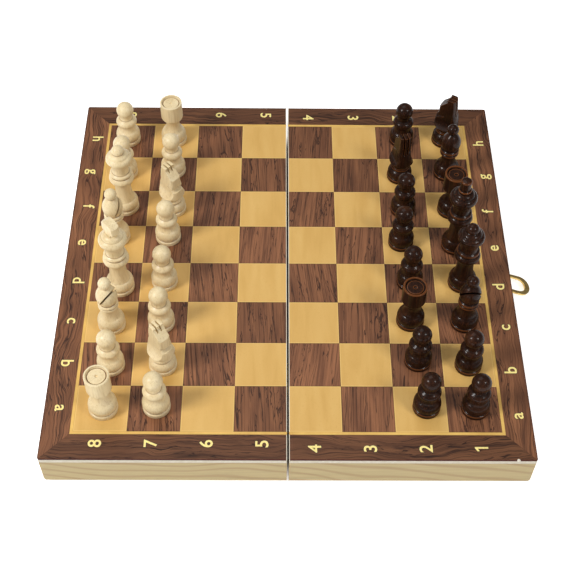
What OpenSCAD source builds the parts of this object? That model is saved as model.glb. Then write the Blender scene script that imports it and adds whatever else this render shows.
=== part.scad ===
// Folding chess set: two hinged half-board trays, a hasp and 32 turned and carved pieces.
// Millimetres, +Z up. The origin is on the rim plane under the middle of the open board.
// Rank 8 lies towards -X, rank 1 towards +X, file a towards -Y and file h towards +Y.

/* [Board] */
// Side of one square
square = 26; // [22:0.5:40]
// Gap between the two open halves
fold_gap = 1; // [0.8:0.1:2]
// Width of the light stringing line around the squares
stringing_w = 1.6; // [1:0.1:4]
// Width of the border that carries the coordinates
border_w = 13.9; // [11:0.1:30]
// Thickness of the inlaid veneer layer
veneer_t = 0.5; // [0.3:0.1:1]
// Thickness of the panel under the veneer
panel_t = 2.4; // [2:0.1:5]
// Corner radius of the outer panel corners
panel_corner = 1.2; // [0.5:0.1:4]

/* [Case] */
// Height of one half from its rim to the playing face
case_h = 22; // [18:0.5:40]
// Thickness of the case walls
wall_t = 7; // [6:0.5:10]
// How far the panel edge stands out past the walls
panel_lip = 0.3; // [0.1:0.1:1]
// Radius of the outer bottom edge of each end wall
end_round = 2.5; // [1:0.1:4]
// Radius of the small easing on the long lower edges
edge_ease = 0.8; // [0.3:0.1:1.5]

/* [Fold hinges] */
// Distance between the middles of the two hinges
hinge_spacing = 120; // [60:1:160]
// Length of one hinge
hinge_len = 20; // [16:0.5:30]
// Width of one leaf from the fold line
leaf_w = 6.4; // [5:0.1:6.4]
// Thickness of the leaf metal
leaf_t = 0.8; // [0.6:0.1:1.2]
// Outer radius of the hinge barrel
barrel_r = 1.1; // [0.9:0.1:1.4]
// Radius of the hinge pins
pin_r = 0.5; // [0.4:0.05:0.6]
// Gap between the two rims when the case is shut
shut_gap = 0.3; // [0.2:0.1:0.6]
// Radius of the countersunk screw shanks
screw_r = 0.6; // [0.4:0.1:0.8]
// Radius of the countersunk screw heads
screw_head_r = 1.2; // [1:0.1:1.4]
// Length of the screws
screw_len = 6; // [4:0.5:10]

/* [Hasp] */
// Height of the hasp hinge axis above the rim
hasp_z = 6; // [5:0.1:7]
// Distance of the hasp hinge axis from the wall
hasp_stand = 2.2; // [2.1:0.1:3]
// Outer radius of the hasp knuckles
hasp_barrel_r = 1.5; // [1.2:0.1:1.6]
// Reach of the loop from its axis to the tip
loop_len = 14.1; // [13.8:0.1:16]
// Outer half width of the loop
loop_half_w = 6.1; // [5.5:0.1:7]
// Width of the loop's two legs
leg_w = 1.8; // [1.4:0.1:2]
// Width of the flat crescent at the tip
crescent_w = 2.9; // [2:0.1:3]
// Thickness of the loop metal
loop_t = 1.2; // [0.8:0.1:1.4]
// Half width of the hasp plate
plate_half_w = 7; // [6:0.1:9]
// Height of the hasp plate
plate_h = 6.6; // [6:0.1:8]
// Height of the catch knob above the rim
knob_z = 3.3; // [3:0.1:3.5]
// Radius of the catch knob's head
knob_r = 1.3; // [1.1:0.1:1.4]
// Radius of the nail shanks
nail_r = 0.5; // [0.4:0.1:0.6]
// Radius of the nail heads
nail_head_r = 1.1; // [0.9:0.1:1.3]
// Length of the nails
nail_len = 5; // [3:0.5:6]

/* [Pieces] */
// Height of the pawns
pawn_h = 28.4; // [22:0.2:45]
// Height of the rooks
rook_h = 30; // [24:0.2:50]
// Height of the knights
knight_h = 34; // [28:0.2:55]
// Height of the bishops
bishop_h = 38.4; // [31:0.2:60]
// Height of the queens
queen_h = 48; // [39:0.2:70]
// Height of the kings
king_h = 53; // [42:0.2:80]
// Foot radius of the pawns
pawn_foot = 6.9; // [5.5:0.05:9]
// Foot radius of the other pieces
piece_foot = 7.3; // [6:0.05:10]
// Width of the saw cut in a bishop's mitre
slot_w = 0.9; // [0.5:0.1:1.2]

/* [Fits] */
// Radial running clearance of a pin in its bore
pin_clear = 0.03; // [0.02:0.01:0.08]
// Clearance between parts that move past each other
move_clear = 0.3; // [0.25:0.05:0.4]
// Clearance of a fitting in its recess or hole
seat_clear = 0.05; // [0.02:0.01:0.1]
// Gap between a standing piece and the playing face
stand_gap = 0.05; // [0.02:0.01:0.1]

/* [Hidden] */
$fn = 64;
eps = 0.01;
left = -1;
right = 1;
arc_steps = 5;

// Board and case, worked out from the driving sizes.
field_x = fold_gap / 2 + 4 * square;
field_y = 4 * square;
string_x = field_x + stringing_w;
string_y = field_y + stringing_w;
half_x = string_x + border_w;
half_y = string_y + border_w;
wall_x = half_x - panel_lip;
wall_y = half_y - panel_lip;
wall_h = case_h - veneer_t - panel_t;
play_z = case_h;

// Fold hinges.
fold_z = -shut_gap / 2;
knuckle_gap = 0.2;
knuckle_len = (hinge_len - 2 * knuckle_gap) / 3;
screw_x = (barrel_r + move_clear + leaf_w) / 2;
screw_y = hinge_len / 2 - 4;

// Hasp on the right end wall, catch on the left one.
hasp_x = wall_x + hasp_stand;
plate_t = 0.8;
tongue_half = 1.8;
loop_droop = asin((hasp_z - loop_t / 2 - 0.15) / loop_len);
plate_z = hasp_z + hasp_barrel_r + 0.4;
hasp_nail_y = plate_half_w - 2.4;
hasp_nail_z = plate_z + plate_h / 2;
catch_half_w = 5;
catch_z = 1.8;
catch_h = 7;
catch_nail_y = catch_half_w - 1.6;
catch_nail_z = catch_z + catch_h - 1.9;
nail_head_t = 0.5;
knob_reach = hasp_stand - plate_t + loop_t / 2 + 0.4;

// Pieces.
foot_t = 2.4;
neck_z = foot_t + 0.6;
finial_h = 8.4;

// Where each piece stands: [name, kind, rank, file, offset x, offset y, turn].
PLACES = [
    ["white_pawn_1", "pawn", 7, 1, 0.8, 0.9, 0],
    ["white_pawn_2", "pawn", 8, 2, 2.3, -1, 40],
    ["white_pawn_3", "pawn", 7, 3, 0, -0.6, 80],
    ["white_pawn_4", "pawn", 7, 4, 0, 0.2, 120],
    ["white_pawn_5", "pawn", 7, 5, 0, 5.2, 160],
    ["white_pawn_6", "pawn", 7, 7, 0, 3, 200],
    ["white_pawn_7", "pawn", 8, 7, -1.3, 1, 240],
    ["white_pawn_8", "pawn", 8, 8, -1.8, 1.8, 280],
    ["white_rook_1", "rook", 8, 1, 0.7, 0, 0],
    ["white_rook_2", "rook", 7, 8, -1.1, 1.8, 90],
    ["white_knight_1", "knight", 7, 2, 2.4, -0.7, -48],
    ["white_knight_2", "knight", 7, 6, 1.6, 0, -45],
    ["white_bishop_1", "bishop", 8, 3, 0.4, -1.8, -34],
    ["white_bishop_2", "bishop", 8, 5, -2, 5, 22],
    ["white_queen", "queen", 8, 6, 0.9, 1.2, 0],
    ["white_king", "king", 8, 4, 2.8, -3.1, -48],
    ["black_pawn_1", "pawn", 1, 1, 0.9, 0.4, 0],
    ["black_pawn_2", "pawn", 2, 1, 2.9, 1, 40],
    ["black_pawn_3", "pawn", 1, 2, 0, -0.2, 80],
    ["black_pawn_4", "pawn", 2, 2, 0.5, 2.2, 120],
    ["black_pawn_5", "pawn", 2, 4, -0.4, 0.8, 160],
    ["black_pawn_6", "pawn", 2, 5, -3.3, 2, 200],
    ["black_pawn_7", "pawn", 2, 6, -0.7, 0, 240],
    ["black_pawn_8", "pawn", 2, 8, 1.8, 2.2, 280],
    ["black_rook_1", "rook", 2, 3, -1.7, 1.3, 0],
    ["black_rook_2", "rook", 1, 6, 0, 0, 90],
    ["black_knight_1", "knight", 2, 7, -1.1, -0.4, 105],
    ["black_knight_2", "knight", 1, 8, 1, 2.6, 150],
    ["black_bishop_1", "bishop", 1, 3, 0.4, 0.4, -90],
    ["black_bishop_2", "bishop", 1, 7, 0, 2, 100],
    ["black_queen", "queen", 1, 4, 1.5, 0.3, 0],
    ["black_king", "king", 1, 5, 0, 0.2, 0]
];

// ---- Shared shapes ----

// Rectangle from the origin with all four corners rounded.
module rounded_rectangle(w, h, r) {
    translate([r, 0]) square([w - 2 * r, h]);
    translate([0, r]) square([w, h - 2 * r]);
    for (x = [r, w - r], y = [r, h - r]) translate([x, y]) circle(r);
}

// Rectangle in x from 0 to w whose lower corner at x = w is rounded.
module toe_rounded(w, h, r) {
    square([w - r, h]);
    translate([0, r]) square([w, h - r]);
    translate([w - r, r]) circle(r);
}

// Turns a shape that is drawn for the right half into the left half's shape.
module on_side(side) {
    if (side == left) mirror([1, 0, 0]) children();
    else children();
}

// Points of an arc from p to q, without p. bulge is its rise as a share of the chord.
function arc_points(p, q, bulge) = abs(bulge) < 0.001 ? [q] :
    let (chord = norm(q - p), sweep = 4 * atan(2 * bulge), across = [q.y - p.y, p.x - q.x] / chord)
    let (mid = (p + q) / 2, centre = mid - across * chord / 2 / tan(sweep / 2))
    [for (i = [1 : arc_steps]) let (a = sweep * i / arc_steps, d = p - centre)
        i == arc_steps ? q : centre + [d.x * cos(a) - d.y * sin(a), d.x * sin(a) + d.y * cos(a)]];

// Outline through stations [radius, height, bulge of the stretch below].
function outline(s) = concat([[s[0][0], s[0][1]]],
    [for (i = [1 : len(s) - 1])
        each arc_points([s[i - 1][0], s[i - 1][1]], [s[i][0], s[i][1]], s[i][2])]);

// Solid of revolution of an outline that is given by stations.
module turned(stations) {
    top = stations[len(stations) - 1];
    points = concat([[0, 0]], outline(stations), top[0] > 0 ? [[0, top[1]]] : []);
    rotate_extrude() polygon(points);
}

// ---- Case ----

module long_wall(side, y_sign) {
    on_side(side) intersection() {
        translate([fold_gap / 2, y_sign < 0 ? -wall_y : wall_y, 0]) rotate([90, 0, 90])
            mirror([y_sign < 0 ? 1 : 0, 0, 0]) translate([-wall_t, 0, 0])
                linear_extrude(wall_x - fold_gap / 2) toe_rounded(wall_t, wall_h, edge_ease);
        translate([fold_gap / 2, half_y, 0]) rotate([90, 0, 0])
            linear_extrude(2 * half_y) toe_rounded(wall_x - fold_gap / 2, wall_h, end_round);
    }
}

module end_wall(side) {
    inner_y = wall_y - wall_t;
    on_side(side) difference() {
        translate([wall_x - wall_t, inner_y, 0]) rotate([90, 0, 0])
            linear_extrude(2 * inner_y) toe_rounded(wall_t, wall_h, end_round);
        if (side == right) nail_places(wall_x, hasp_nail_y, hasp_nail_z)
            cylinder(r = nail_r + seat_clear, h = 2 * (nail_len + seat_clear), center = true);
        else nail_places(wall_x, catch_nail_y, catch_nail_z)
            cylinder(r = nail_r + seat_clear, h = 2 * (nail_len + seat_clear), center = true);
    }
}

// Puts its children, which point along +Z, at two nail places with that axis along +X.
module nail_places(x, y, z) {
    for (y_sign = [-1, 1]) translate([x, y_sign * y, z]) rotate([0, 90, 0]) children();
}

module centre_wall(side) {
    inner_y = wall_y - wall_t;
    pocket_len = hinge_len + 2 * seat_clear;
    on_side(side) difference() {
        translate([fold_gap / 2, -inner_y, 0]) cube([wall_t, 2 * inner_y, wall_h]);
        hinge_places() {
            translate([0, -pocket_len / 2, -1]) cube([leaf_w + seat_clear, pocket_len, 1 + leaf_t]);
            translate([0, 0, fold_z]) rotate([90, 0, 0])
                cylinder(r = barrel_r + move_clear, h = pocket_len, center = true);
            screw_places() cylinder(r = screw_r + seat_clear, h = screw_len + seat_clear);
        }
    }
}

module panel(side) {
    on_side(side) translate([fold_gap / 2, -half_y, wall_h]) linear_extrude(panel_t)
        half_outline(panel_corner);
}

// Plan of one half board from its inner edge, with round outer corners.
module half_outline(r) {
    w = half_x - fold_gap / 2;
    square([w - r, 2 * half_y]);
    translate([0, r]) square([w, 2 * half_y - 2 * r]);
    for (y = [r, 2 * half_y - r]) translate([w - r, y]) circle(r);
}

// ---- Veneer ----

// A square is dark when its file and rank numbers have an even sum.
module squares(side, dark) {
    for (step = [0 : 3], file = [1 : 8]) {
        rank = side == right ? 4 - step : 5 + step;
        if (((rank + file) % 2 == 0) == dark)
            on_side(side) translate([fold_gap / 2 + step * square, (file - 5) * square, play_z - veneer_t])
                cube([square, square, veneer_t]);
    }
}

module stringing(side) {
    on_side(side) translate([0, 0, play_z - veneer_t]) linear_extrude(veneer_t) difference() {
        translate([fold_gap / 2, -string_y]) square([string_x - fold_gap / 2, 2 * string_y]);
        translate([fold_gap / 2 - 1, -field_y]) square([field_x - fold_gap / 2 + 1, 2 * field_y]);
    }
}

module border(side) {
    on_side(side) translate([0, 0, play_z - veneer_t]) linear_extrude(veneer_t) difference() {
        translate([fold_gap / 2, -half_y]) half_outline(panel_corner);
        translate([fold_gap / 2 - 1, -string_y]) square([string_x - fold_gap / 2 + 1, 2 * string_y]);
    }
}

// ---- Fold hinges ----

module hinge_places() {
    for (y_sign = [-1, 1]) translate([0, y_sign * hinge_spacing / 2, 0]) children();
}

module screw_places() {
    for (y_sign = [-1, 1]) translate([screw_x, y_sign * screw_y, 0]) children();
}

// Countersunk screw that points up from the rim, drawn fat for its hole when clear is set.
module screw_body(clear) {
    cylinder(r = screw_r + clear, h = screw_len);
    cylinder(r1 = screw_head_r + clear, r2 = screw_r + clear, h = leaf_t);
}

// The outer knuckles belong to the left leaf and the middle one to the right leaf.
module hinge_leaf(side) {
    others = side == left ? [0] : [-1, 1];
    on_side(side) difference() {
        rotate([90, 0, 0]) linear_extrude(hinge_len, center = true) difference() {
            union() {
                square([leaf_w, leaf_t]);
                translate([0, fold_z]) circle(barrel_r);
            }
            translate([0, fold_z]) circle(pin_r + pin_clear);
        }
        for (k = others) translate([0, k * (knuckle_len + knuckle_gap), 0])
            translate([-2 * barrel_r, -knuckle_len / 2 - knuckle_gap, -2 * barrel_r])
                cube([3 * barrel_r + move_clear, knuckle_len + 2 * knuckle_gap, 4 * barrel_r]);
        screw_places() translate([0, 0, -eps]) screw_body(seat_clear);
    }
}

module hinge_leaves(side) {
    hinge_places() hinge_leaf(side);
}

// The two fold pins and the pin of the hasp.
module hinge_pins() {
    hinge_places() translate([0, 0, fold_z]) rotate([90, 0, 0])
        cylinder(r = pin_r, h = hinge_len, center = true);
    translate([hasp_x, 0, hasp_z]) rotate([90, 0, 0])
        cylinder(r = pin_r, h = 2 * loop_half_w, center = true);
}

module hinge_screws(side) {
    on_side(side) hinge_places() screw_places() difference() {
        screw_body(0);
        translate([-screw_head_r, -0.15, -eps]) cube([2 * screw_head_r, 0.3, 0.25]);
    }
}

// ---- Hasp and catch ----

module hasp_plate() {
    difference() {
        union() {
            translate([wall_x, -plate_half_w, plate_z]) cube([plate_t, 2 * plate_half_w, plate_h]);
            translate([wall_x, -tongue_half, hasp_z])
                cube([plate_t, 2 * tongue_half, plate_z - hasp_z + eps]);
            translate([wall_x, -tongue_half, hasp_z])
                cube([hasp_stand, 2 * tongue_half, hasp_barrel_r]);
            translate([hasp_x, 0, hasp_z]) rotate([90, 0, 0])
                cylinder(r = hasp_barrel_r, h = 2 * tongue_half, center = true);
        }
        translate([hasp_x, 0, hasp_z]) rotate([90, 0, 0])
            cylinder(r = pin_r + pin_clear, h = 2 * plate_half_w, center = true);
        nail_places(wall_x, hasp_nail_y, hasp_nail_z)
            cylinder(r = nail_r + seat_clear, h = 4, center = true);
    }
}

// Plan of the loop in its own plane, with its hinge axis along Y through the origin.
module loop_plan() {
    outer_x = loop_len - loop_half_w;
    inner_r = loop_half_w - leg_w;
    inner_x = loop_len - crescent_w - inner_r;
    difference() {
        union() {
            translate([0, -loop_half_w]) square([outer_x, 2 * loop_half_w]);
            translate([outer_x, 0]) circle(loop_half_w);
        }
        translate([-1, -inner_r]) square([inner_x + 1, 2 * inner_r]);
        translate([inner_x, 0]) circle(inner_r);
    }
}

module hasp_loop() {
    inner_y = tongue_half + move_clear;
    translate([hasp_x, 0, hasp_z]) rotate([0, loop_droop, 0]) difference() {
        union() {
            translate([0, 0, -loop_t / 2]) linear_extrude(loop_t) loop_plan();
            for (y_sign = [-1, 1]) translate([0, y_sign * (inner_y + loop_half_w) / 2, 0])
                rotate([90, 0, 0])
                    cylinder(r = hasp_barrel_r, h = loop_half_w - inner_y, center = true);
        }
        rotate([90, 0, 0])
            cylinder(r = pin_r + pin_clear, h = 4 * loop_half_w, center = true);
    }
}

module nail() {
    translate([0, 0, -nail_len + plate_t]) cylinder(r = nail_r, h = nail_len);
    translate([0, 0, plate_t]) cylinder(r = nail_head_r, h = nail_head_t);
}

module hasp_nails() {
    nail_places(wall_x, hasp_nail_y, hasp_nail_z) nail();
}

module catch_plate() {
    mirror([1, 0, 0]) difference() {
        union() {
            translate([wall_x, -catch_half_w, catch_z]) cube([plate_t, 2 * catch_half_w, catch_h]);
            translate([wall_x, 0, knob_z]) rotate([0, 90, 0]) {
                cylinder(r = knob_r - 0.4, h = plate_t + knob_reach);
                translate([0, 0, plate_t + knob_reach]) cylinder(r = knob_r, h = plate_t);
            }
        }
        nail_places(wall_x, catch_nail_y, catch_nail_z)
            cylinder(r = nail_r + seat_clear, h = 4, center = true);
    }
}

module catch_nails() {
    mirror([1, 0, 0]) nail_places(wall_x, catch_nail_y, catch_nail_z) nail();
}

// ---- Pieces ----
// A piece's stations are written for a height ref. All that is above its foot moves when the
// piece gets another height h.

function raised(z, ref, h) = z <= neck_z ? z : neck_z + (z - neck_z) * (h - neck_z) / (ref - neck_z);

function stretch(s, ref, h) = [for (p = s) [p[0], raised(p[1], ref, h), p[2]]];

function stretch_plan(s, ref, h) = [for (p = s) [p[0], raised(p[1], ref, h)]];

// Foot disc with eased edges, then the groove above it.
function foot(r) = [[r - 0.3, 0, 0], [r, 0.3, 0.2], [r, foot_t - 0.4, 0],
    [r - 0.4, foot_t, 0.2], [r - 0.9, foot_t + 0.3, 0]];

// Full round belly above the foot, ending in a small step.
function belly(r, top_r, top_z) = [[r - 0.5, neck_z, 0], [top_r, top_z, 0.15],
    [top_r - 0.4, top_z + 0.3, 0]];

// Round bead from height low to high that springs from radius r.
function bead(r, low, high) = [[r, low, 0], [r, high, 0.28]];

module pawn() {
    r = pawn_foot;
    turned(stretch(concat(foot(r), belly(r, r - 1.3, 8.6), [[r - 2.4, 12.6, -0.1]],
        bead(r - 2.2, 13, 17.2), [[r - 3.2, 17.8, 0], [r - 3.3, 20.3, -0.05],
        [0, 28.4, 0.33]]), 28.4, pawn_h));
}

module rook() {
    r = piece_foot;
    dish_r = r - 2.1;
    ring_r = r - 2.9;
    difference() {
        turned(stretch(concat(foot(r), belly(r, r - 1.6, 8.6), [[r - 3, 16.4, -0.12],
            [r - 2.1, 18.2, -0.1], [r - 1.4, 18.8, 0.2], [r - 1.1, 20, 0.1], [r - 1.1, 29.6, 0],
            [r - 1.5, 30, 0.2]]), 30, rook_h));
        translate([0, 0, rook_h - 0.8]) cylinder(r = dish_r, h = 2);
        translate([0, 0, rook_h - 1.3]) rotate_extrude() translate([ring_r, 0]) square([0.5, 2]);
        translate([0, 0, rook_h - 1.6]) cylinder(r = 0.5, h = 2);
    }
}

module bishop(turn) {
    r = piece_foot - 0.2;
    saw_slope = 62;
    difference() {
        turned(stretch(concat(foot(r), belly(r, r - 1.5, 8.8), [[r - 3, 15.6, -0.1]],
            bead(r - 2.4, 16.8, 18.6), bead(r - 2.4, 18.8, 20.6), [[r - 2.9, 21, 0],
            [2.1, 32, 0.2], [1.8, 32.4, 0], [0, 38.4, 0.37]]), 38.4, bishop_h));
        rotate([0, 0, turn]) translate([0, -2 * r, raised(22.6, 38.4, bishop_h)])
            rotate([0, -saw_slope, 0]) cube([2 * r, 4 * r, slot_w]);
    }
}

// Stations that kings and queens share, from the foot to the underside of the cap.
function royal_body(r) = concat(foot(r), belly(r, r - 1.3, 8.3), [[r - 2.5, 21.8, -0.06]],
    bead(r - 1.8, 22.4, 27), bead(r - 1.9, 27.4, 29.4), [[r - 2.6, 29.8, 0]]);

module queen() {
    r = piece_foot;
    turned(stretch(concat(royal_body(r), [[r - 1.3, 37.4, -0.08], [r - 1.6, 41.4, 0.28],
        [r - 2, 41.6, 0], [3.3, 43.4, 0.1], [2.9, 43.7, 0], [3.4, 45, 0.12],
        [0, 48, 0.19]]), 48, queen_h));
}

module king_body() {
    r = piece_foot;
    turned(stretch(concat(royal_body(r), [[r - 1.1, 37.6, -0.08], [r - 1.3, 42.2, 0.27],
        [r - 1.8, 42.4, 0], [3.4, 44.6, 0.12]]), 44.6, king_h - finial_h));
}

// Cross with flared arms, turned as a disc and sawn flat on both sides.
module block_finial(turn) {
    translate([0, 0, king_h - finial_h]) intersection() {
        rotate([0, 0, turn]) translate([0, 2.5, 0]) rotate([90, 0, 0]) linear_extrude(5)
            polygon([[-2.2, -0.3], [2.2, -0.3], [2.4, 1.6], [5, 2.6], [5, finial_h - 1.9],
                [2.2, finial_h], [-2.2, finial_h], [-5, finial_h - 1.9], [-5, 2.6],
                [-2.4, 1.6]]);
        turned([[4.2, -0.3, 0], [4.7, finial_h * 0.6, 0.08], [4.1, finial_h, 0.08]]);
    }
}

// Collar and short domed post.
module post_finial() {
    translate([0, 0, king_h - finial_h]) turned([[2.6, -0.3, 0], [2.6, 0.4, 0], [3.1, 0.6, 0],
        [3.1, 1.8, 0.3], [2.6, 2, 0], [2.9, finial_h - 1.6, 0.02], [1.8, finial_h - 0.2, 0.25],
        [0, finial_h, 0.05]]);
}

module king(finial, turn) {
    union() {
        king_body();
        if (finial == "block") block_finial(turn);
        else post_finial();
    }
}

// Horse's head sawn out of its turned blank: flat flanks, face, throat and two mane cuts.
module knight(turn) {
    r = piece_foot - 0.2;
    ref = 34;
    width = 4 * r;
    blank = concat(foot(r), belly(r, r - 1.5, 7.4), [[r - 2.3, 8.4, -0.1], [r - 2.1, 10, 0.3],
        [r - 2.2, 10.4, 0], [r - 0.5, 13.4, -0.12], [r - 0.1, 14.4, 0.15], [r - 1.8, 24.5, 0.03],
        [r - 2.7, ref, 0.02]]);
    flank = concat(outline([[r - 0.3, 13.2, 0], [3.5, 21, -0.15], [3, ref + 1, 0]]),
        [[2 * r, ref + 1], [2 * r, 13.2]]);
    face = [[0.2, ref + 1], [0.2, 32.2], [4.8, 27.4], [4.8, 21], [2 * r, 21], [2 * r, ref + 1]];
    throat = [[2 * r, 21.1], [4.7, 21.1], [-0.3, 22], [5.4, 19.2], [2 * r, 19.2]];
    mane = [[-2 * r, 21], [-3.4, 23], [-2.4, 30.5], [1.5, 30.5], [1.5, ref + 1],
        [-2 * r, ref + 1]];
    rotate([0, 0, turn]) difference() {
        turned(stretch(blank, ref, knight_h));
        for (side = [-1, 1]) rotate([90, 0, 90]) linear_extrude(width, center = true)
            mirror([side < 0 ? 1 : 0, 0]) polygon(stretch_plan(flank, ref, knight_h));
        saw_through(width) polygon(stretch_plan(face, ref, knight_h));
        saw_through(width) polygon(stretch_plan(throat, ref, knight_h));
        for (y = [-1.1, 1.1]) translate([0, y, 0]) saw_through(0.7)
            polygon(stretch_plan(mane, ref, knight_h));
    }
}

// Extrudes a plan in X and Z to both sides of the XZ plane.
module saw_through(width) {
    rotate([90, 0, 0]) linear_extrude(width, center = true) children();
}

// Stands one named piece at its place on the board.
module place(name) {
    row = PLACES[search([name], PLACES)[0]];
    kind = row[1];
    rank = row[2];
    side = rank > 4 ? left : right;
    step = rank > 4 ? rank - 4.5 : 4.5 - rank;
    x = side * (fold_gap / 2 + step * square) + row[4];
    y = (row[3] - 4.5) * square + row[5];
    translate([x, y, play_z + stand_gap]) {
        if (kind == "pawn") pawn();
        if (kind == "rook") rook();
        if (kind == "bishop") bishop(row[6]);
        if (kind == "knight") knight(row[6]);
        if (kind == "queen") queen();
        if (kind == "king") king(side == left ? "block" : "post", row[6]);
    }
}

module white_piece(name) {
    color("cornsilk") place(name);
}

module black_piece(name) {
    color([0.16, 0.09, 0.06]) place(name);
}

// ---- One module per node ----

module left_front_wall() { color("wheat") long_wall(left, -1); }
module left_back_wall() { color("wheat") long_wall(left, 1); }
module left_end_wall() { color("wheat") end_wall(left); }
module left_centre_wall() { color("wheat") centre_wall(left); }
module left_panel() { color("linen") panel(left); }
module left_dark_squares() { color([0.4, 0.25, 0.17]) squares(left, true); }
module left_light_squares() { color([0.8, 0.64, 0.35]) squares(left, false); }
module left_stringing() { color([0.9, 0.74, 0.4]) stringing(left); }
module left_border() { color([0.4, 0.25, 0.17]) border(left); }
module right_front_wall() { color("wheat") long_wall(right, -1); }
module right_back_wall() { color("wheat") long_wall(right, 1); }
module right_end_wall() { color("wheat") end_wall(right); }
module right_centre_wall() { color("wheat") centre_wall(right); }
module right_panel() { color("linen") panel(right); }
module right_dark_squares() { color([0.4, 0.25, 0.17]) squares(right, true); }
module right_light_squares() { color([0.8, 0.64, 0.35]) squares(right, false); }
module right_stringing() { color([0.9, 0.74, 0.4]) stringing(right); }
module right_border() { color([0.4, 0.25, 0.17]) border(right); }
module left_hinge_leaves() { color("goldenrod") hinge_leaves(left); }
module right_hinge_leaves() { color("goldenrod") hinge_leaves(right); }
module all_hinge_pins() { color("silver") hinge_pins(); }
module left_hinge_screws() { color("gold") hinge_screws(left); }
module right_hinge_screws() { color("gold") hinge_screws(right); }

left_front_wall();
left_back_wall();
left_end_wall();
left_centre_wall();
left_panel();
left_dark_squares();
left_light_squares();
left_stringing();
left_border();
right_front_wall();
right_back_wall();
right_end_wall();
right_centre_wall();
right_panel();
right_dark_squares();
right_light_squares();
right_stringing();
right_border();
left_hinge_leaves();
right_hinge_leaves();
all_hinge_pins();  // hinge_pins
left_hinge_screws();
right_hinge_screws();
color("gold") hasp_plate();
color("gold") hasp_loop();
color("goldenrod") hasp_nails();
color("gold") catch_plate();
color("goldenrod") catch_nails();
for (row = PLACES) union() {
    if (search("w", row[0][0])) white_piece(row[0]);
    else black_piece(row[0]);
}
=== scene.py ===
import math

import bpy
import bmesh
import numpy as np
from mathutils import Matrix, Vector


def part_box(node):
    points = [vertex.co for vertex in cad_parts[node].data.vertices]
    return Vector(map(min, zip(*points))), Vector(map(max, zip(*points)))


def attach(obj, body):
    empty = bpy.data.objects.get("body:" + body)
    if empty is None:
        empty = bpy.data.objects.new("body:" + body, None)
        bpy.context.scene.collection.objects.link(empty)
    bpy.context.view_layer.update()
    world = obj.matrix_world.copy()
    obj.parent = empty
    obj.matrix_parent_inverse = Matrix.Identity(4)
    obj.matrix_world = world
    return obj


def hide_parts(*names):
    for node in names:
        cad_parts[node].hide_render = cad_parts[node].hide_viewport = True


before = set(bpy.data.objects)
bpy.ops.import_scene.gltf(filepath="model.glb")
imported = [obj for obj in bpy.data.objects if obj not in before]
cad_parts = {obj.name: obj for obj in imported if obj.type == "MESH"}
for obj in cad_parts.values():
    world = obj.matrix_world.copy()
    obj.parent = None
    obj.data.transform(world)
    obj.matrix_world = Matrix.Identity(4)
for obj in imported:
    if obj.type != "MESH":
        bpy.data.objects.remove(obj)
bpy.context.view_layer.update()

MM = 0.001
SIDES = {"left": -1, "right": 1}


def mm(*values):
    """Millimetres as metres."""
    scaled = [v * MM for v in values]
    return scaled[0] if len(scaled) == 1 else Vector(scaled)


# ---- Sizes that the looks need, taken from the frame ----

play_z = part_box("left_dark_squares")[1].z
half_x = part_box("right_panel")[1].x
half_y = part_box("right_panel")[1].y
fold_gap = 2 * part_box("right_panel")[0].x
field_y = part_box("right_dark_squares")[1].y
square = field_y / 4
field_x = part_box("right_dark_squares")[1].x
string_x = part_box("right_stringing")[1].x
string_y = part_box("right_stringing")[1].y


# ---- Shader writing ----

def paint(red, green, blue):
    """A colour as it is seen, 0 to 255, as the linear colour a shader takes."""
    linear = [(c / 255 / 12.92) if c / 255 <= 0.04045 else ((c / 255 + 0.055) / 1.055) ** 2.4
              for c in (red, green, blue)]
    return (*linear, 1.0)


class Value:
    """A socket of a finish, with arithmetic that adds its Math nodes."""

    def __init__(self, finish, socket):
        self.finish = finish
        self.socket = socket

    def maths(self, operation, *terms):
        return self.finish.node("Math", {"operation": operation}, dict(enumerate(terms)))

    def __add__(self, other):
        return self.maths("ADD", self, other)

    def __sub__(self, other):
        return self.maths("SUBTRACT", self, other)

    def __mul__(self, other):
        return self.maths("MULTIPLY", self, other)

    def __truediv__(self, other):
        return self.maths("DIVIDE", self, other)

    def __rsub__(self, other):
        return self.maths("SUBTRACT", other, self)

    def __gt__(self, other):
        return self.maths("GREATER_THAN", self, other)

    def __abs__(self):
        return self.maths("ABSOLUTE", self)

    def floor(self):
        return self.maths("FLOOR", self)

    def sign(self):
        return self.maths("SIGN", self)

    def least(self, other):
        return self.maths("MINIMUM", self, other)

    def most(self, other):
        return self.maths("MAXIMUM", self, other)

    __radd__ = __add__
    __rmul__ = __mul__


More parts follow.
